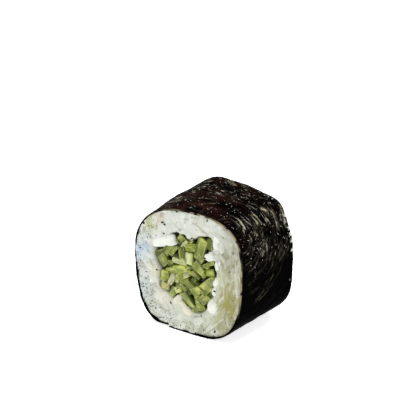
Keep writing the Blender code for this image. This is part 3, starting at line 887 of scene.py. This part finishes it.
# The CAD has 17 bits at each end of the filling and 22 strips between them.
heap = Heap()
for x, z, angle, length, width, stand, colour in FRONT_BARS:
    deep = BAR_DEPTH * dice.uniform(0.85, 1.15)
    sizes = (BAR_GAP * length, deep, BAR_GAP * width)
    cucumber_bar(heap, (x, FRONT - stand + deep / 2, z), math.radians(angle), sizes, colour)
for _ in range(CHIP_COUNT):
    x, z = dice.uniform(-9, 7), dice.uniform(9, 28)
    if math.hypot(x - CORE_X, z - CORE_Z) < front_hole_reach(core_turn(x, z)) - 1:
        sizes = (dice.uniform(1.4, 2.6), 2.0, dice.uniform(0.9, 1.6))
        place = (x, FRONT + 1.0 + dice.uniform(-0.2, 0.5), z)
        turn = dice.uniform(0, math.pi)
        cucumber_bar(heap, place, turn, sizes, dice.choice((LIME, PALE, OLIVE, DEEP)), 0.5)
for i in range(UNDER_BARS):
    turn = i * GOLDEN_ANGLE
    reach = math.sqrt((i + 0.5) / UNDER_BARS) * (front_hole_reach(turn) - 1.0)
    x, z = core_place(turn, reach)
    turn = dice.uniform(0, math.pi)
    cucumber_bar(heap, (x, FRONT + 2.9, z), turn, (4.4, 2.4, 2.6), dice.choice((DEEP, OLIVE)))
front_bars = heap.piece("cucumber_front_bars", cucumber_finish)
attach(front_bars, "root")
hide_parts(*("cucumber_front_bit_%02d" % (i + 1) for i in range(17)))

heap = Heap()
back_colours = (LIME, LEAF, SAGE, OLIVE, LEAF, PALE, DEEP)
for layer, count, colours in ((0, BACK_BARS, back_colours), (1, UNDER_BARS, (DEEP, OLIVE))):
    for i in range(count):
        turn = i * GOLDEN_ANGLE + 0.2 * layer
        edge = float(cad_hole_reach([turn])[0]) - 1.3
        reach = edge * math.sqrt((i + 0.5) / count)
        sizes = (dice.uniform(3.0, 5.2), BAR_DEPTH * dice.uniform(0.85, 1.15), dice.uniform(2.2, 3.2))
        y = BACK + dice.uniform(-0.6, 0.4) - sizes[1] / 2 - 2.0 * layer
        x, z = core_place(turn, reach)
        cucumber_bar(heap, (x, y, z), dice.uniform(0, math.pi), sizes, dice.choice(colours), 0.25)
back_bars = heap.piece("cucumber_back_bars", cucumber_finish)
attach(back_bars, "root")
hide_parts(*("cucumber_back_bit_%02d" % (i + 1) for i in range(17)))

heap = Heap()
for i in range(22):
    low, high = (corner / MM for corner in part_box("cucumber_strip_%02d" % (i + 1)))
    size = high - low
    bar = soft_block(fine_block, (STRIP_GAP * size.x, size.y, STRIP_GAP * size.z), KNIFE_EDGE)
    shift = dice.uniform(0, 90)
    bar += 0.12 * wobble(bar[:, 1] * 0.3 + shift, bar * 0.7 + shift, 91)
    tone = linear(dice.choice((OLIVE, DEEP, LEAF)))
    # The strips take the full painted shade.
    heap.add(bar + np.array((low + high) / 2), fine_faces, tone=tone,
             fibre=(bar + shift)[:, [1, 0, 2]], worn=0.0, rind=0.0, deep=1.0)
strips = heap.piece("cucumber_strips", cucumber_finish)
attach(strips, "root")
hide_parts(*("cucumber_strip_%02d" % (i + 1) for i in range(22)))


# ---- Crumbs -------------------------------------------------------------------------------------
# The knife carries crumbs of nori over the rice and the filling, and flecks of rice starch over the nori.
# All are stuck on.
# Most are under half a millimetre, and the longest shred is 3.4 mm. Some of the longer dark shreds among the
# cucumber bars are painted shade, put in the dark gaps between the bars.

CRUMB_COUNT = 380
BACK_CRUMB_COUNT = 130
FLECK_COUNT = 190
EDGE_FLECK_COUNT = 24  # near the back edge of the sheet
LUMP_COUNT = 5  # bigger lumps of starch at the back edge
FLECK_COLOUR = (214, 206, 184)

# x, z, angle in degrees, length and width of the crumbs and shreds that stand out; the long dark shreds
# among the cucumber bars, such as the one at x 5.3, z 18.2, are painted shade in the gaps between the bars.
BIG_CRUMBS_AND_GAP_SHADE = [
    (-14.1, 32.3, 30, 1.2, 0.8), (-15.0, 30.6, 0, 1.0, 0.7), (-8.4, 32.2, 10, 0.9, 0.7),
    (-7.6, 31.8, -40, 0.9, 0.6), (-8.0, 28.9, 0, 0.6, 0.5), (-3.6, 36.4, 0, 0.8, 0.5),
    (6.6, 35.9, 60, 0.9, 0.5), (-10.8, 17.2, -20, 0.9, 0.4), (-5.7, 8.2, 0, 0.6, 0.5),
    (-11.2, 5.0, 0, 0.5, 0.5), (4.6, 6.6, 0, 0.5, 0.5), (9.1, 2.9, 70, 1.1, 0.6), (8.7, 1.4, 20, 0.8, 0.5),
    (6.4, 24.9, 0, 0.5, 0.4), (9.2, 15.6, -20, 0.9, 0.5), (14.2, 22.7, 0, 0.5, 0.4),
    (-16.4, 22.7, 0, 0.6, 0.4), (-4.4, 29.8, -20, 1.3, 0.8), (1.5, 29.7, 40, 1.0, 0.4),
    (1.9, 29.7, -50, 1.0, 0.4), (5.3, 18.2, 45, 3.4, 0.8), (-3.7, 28.4, -55, 2.8, 0.5),
    (-0.6, 29.0, -32, 2.8, 0.5), (-2.2, 26.9, 60, 2.0, 0.5), (6.8, 26.4, 10, 1.4, 0.5),
    (-3.9, 23.4, 70, 2.0, 0.7), (-5.0, 20.3, 10, 1.6, 0.6), (-4.6, 25.9, 30, 1.2, 0.5),
]

crumb_finish, shader, wire = new_finish("nori_crumb", {"Specular IOR Level": 0.3})
place = wire.node("ShaderNodeTexCoord", {}, {}, 3) * (1 / MM, 1 / MM, 1 / MM)
mottle = wire.noise(place, 0.3)
feed(shader, Base_Color=mottle.between(0.4, 0.6).blend(paint(8, 9, 8), (36, 38, 24)),
     Roughness=0.4 + 0.3 * mottle)


def toward_rim(rim, turn, reach):
    """x and z at a share of the way from the roll's axis to its rim."""
    edge = rim[int((-turn - math.pi / 2) / math.tau % 1 * RICE_COLUMNS)]
    return reach * edge[0], AXIS_HEIGHT + reach * (edge[2] - AXIS_HEIGHT)


def struck(surfaces, x, z, start, way):
    """Places along the roll where a ray from the start first meets each surface, if it does."""
    hits = [tree.ray_cast(Vector((x, start, z)) * MM, Vector((0, way, 0)))[0] for tree in surfaces]
    return [hit.y / MM for hit in hits if hit]


heap = Heap()
crumbs_and_gap_shade = list(BIG_CRUMBS_AND_GAP_SHADE)
while len(crumbs_and_gap_shade) < CRUMB_COUNT:
    turn = dice.gauss(-2.5, 0.8) if dice.random() < 0.8 else dice.uniform(0, 6.3)
    x, z = toward_rim(front_rim, turn, 0.985 - abs(dice.gauss(0, 0.13)))
    size = dice.uniform(0.16, 0.40)
    crumbs_and_gap_shade.append((x, z, dice.uniform(0, 180), size, size * dice.uniform(0.5, 0.9)))
surfaces = [surface_of(piece) for piece in (rice, grains, front_bars)]
for x, z, angle, length, width in crumbs_and_gap_shade:
    level = min(struck(surfaces, x, z, FRONT - 5, 1) + [FRONT + 0.8])
    thick = min(0.35, width)
    crumb = pebble(small_block, (length, thick, width))
    shift = dice.uniform(0, 90)
    spot = small_block * 1.6 + shift
    crumb += 0.22 * width * wobble(spot[:, 0], np.roll(spot, -1, 1), 95)
    crumb = turned(crumb, math.radians(angle), 0.0, dice.uniform(-0.1, 0.1)) + (x, level + 0.1 * thick, z)
    heap.add(crumb, small_faces)
surfaces = [surface_of(piece) for piece in (rice, back_bars)]
for _ in range(BACK_CRUMB_COUNT):
    turn = dice.uniform(0, math.tau)
    x, z = toward_rim(back_rim, turn, 0.97 - abs(dice.gauss(0, 0.22)))
    size = dice.uniform(0.12, 0.5) ** 1.3
    level = max(struck(surfaces, x, z, BACK + 5, -1) + [BACK - 1.5])
    crumb = pebble(small_block, (1.6 * size, min(0.3, size), size))
    heap.add(turned(crumb, dice.uniform(0, math.pi)) + (x, level - 0.1 * size, z), small_faces)
nori_crumbs_and_gap_shade = heap.piece("nori_crumbs_and_gap_shade", crumb_finish)
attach(nori_crumbs_and_gap_shade, "root")

heap = Heap()
sheet_surface = surface_of(sheet)
flecks = [(dice.uniform(0.42, 0.72), dice.uniform(-12, 12.5), dice.uniform(0.12, 0.30))
          for _ in range(FLECK_COUNT)]
flecks += [(dice.uniform(0.55, 0.74), dice.uniform(11.5, 12.9), dice.uniform(0.2, 0.45))
           for _ in range(EDGE_FLECK_COUNT)]
flecks += [(dice.gauss(0.70, 0.02), 12.5, dice.uniform(0.9, 1.4)) for _ in range(LUMP_COUNT)]
for share_round, y, size in flecks:
    fleck = pebble(small_block, (size, 0.5 * size + 0.05, size * dice.uniform(0.6, 1.0)))
    fleck = turned(fleck, dice.uniform(0, math.pi))[:, [0, 2, 1]]
    foot, normal = sheet_surface.find_nearest(Vector(skin_place(share_round, y, -0.06) * MM))[:2]
    side = normal.cross(Vector((0, 1, 0))).normalized()
    fleck = fleck @ np.array([side, normal.cross(side), normal]) + np.array(foot / MM)
    heap.add(fleck, small_faces, tone=0.9, tint=linear(FLECK_COLOUR), **PLAIN_RICE)
starch_flecks = heap.piece("starch_flecks", rice_finish)
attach(starch_flecks, "root")


# ---- Table, light and camera --------------------------------------------------------------------
# A plain white table under soft white light, with one brighter lamp overhead and one behind.

floor_finish, shader, wire = new_finish("white_table", {
    "Specular IOR Level": 0.1, "Emission Color": (1.0, 1.0, 1.0, 1.0), "Emission Strength": 0.75})
place = wire.node("ShaderNodeTexCoord", {}, {}, 3)
mottle = wire.noise(place, 0.05)
feed(shader, Base_Color=mottle.blend(paint(250, 250, 250), (253, 253, 252)),
     Roughness=0.7 + 0.1 * mottle)
TABLE_HALF = 1500.0
TABLE_DROP = 0.02  # keeps the table's face from lying in the roll's own foot
corners = [(TABLE_HALF * x, TABLE_HALF * y, 0.0) for x, y in ((-1, -1), (1, -1), (1, 1), (-1, 1))]
floor = new_piece("table", corners, [(0, 1, 2, 3)], floor_finish)
floor.location.z = -TABLE_DROP * MM

SKY = {6: (1.0, 1.0, 1.0, 1.0), 7: (0.45, 0.45, 0.45, 1.0)}  # at the horizon, and high up
world = bpy.data.worlds.new("studio")
world.use_nodes = True
wire = Wire(world.node_tree)
direction = wire.node("ShaderNodeTexCoord", {}, {})
rising = wire.node("ShaderNodeSeparateXYZ", {}, {0: direction}, 2).between(0.05, 0.45)
sky = wire.node("ShaderNodeMix", {"data_type": "RGBA"}, {0: rising, **SKY}, 2)
world.node_tree.links.new(sky.socket, world.node_tree.nodes["Background"].inputs["Color"])
bpy.context.scene.world = world
bpy.context.scene.view_settings.view_transform = "Standard"

AIM = Vector((0.0, 0.0, 19.1)) * MM


def add_lamp(name, direction, distance, size, power):
    """A square soft lamp that looks at the roll."""
    light = bpy.data.lights.new(name, "AREA")
    light.size = size
    light.energy = power
    lamp = bpy.data.objects.new(name, light)
    lamp.location = AIM + Vector(direction).normalized() * distance
    lamp.rotation_euler = (AIM - lamp.location).to_track_quat("-Z", "Y").to_euler()
    bpy.context.scene.collection.objects.link(lamp)


add_lamp("overhead lamp", (-0.25, -0.35, 1.0), 0.6, 0.08, 1.3)
add_lamp("back lamp", (0.25, 0.8, 0.6), 0.6, 0.06, 0.6)

TURN = math.radians(33.476)
RISE = math.radians(23.122)
DISTANCE = 350.58 * MM
LOOK_SIDE = -3.886 * MM  # where the camera looks, rightward and upward from the roll's middle
LOOK_UP = 16.427 * MM
toward_camera = Vector((math.sin(TURN) * math.cos(RISE), -math.cos(TURN) * math.cos(RISE), math.sin(RISE)))
rightward = Vector((math.cos(TURN), math.sin(TURN), 0.0))
upward = toward_camera.cross(rightward)
camera = bpy.data.objects.new("camera", bpy.data.cameras.new("camera"))
camera.data.lens = 109.15
camera.data.sensor_width = 36.0
camera.location = AIM + toward_camera * DISTANCE
look_at = AIM + rightward * LOOK_SIDE + upward * LOOK_UP
camera.rotation_euler = (look_at - camera.location).to_track_quat("-Z", "Y").to_euler()
bpy.context.scene.collection.objects.link(camera)
bpy.context.scene.camera = camera
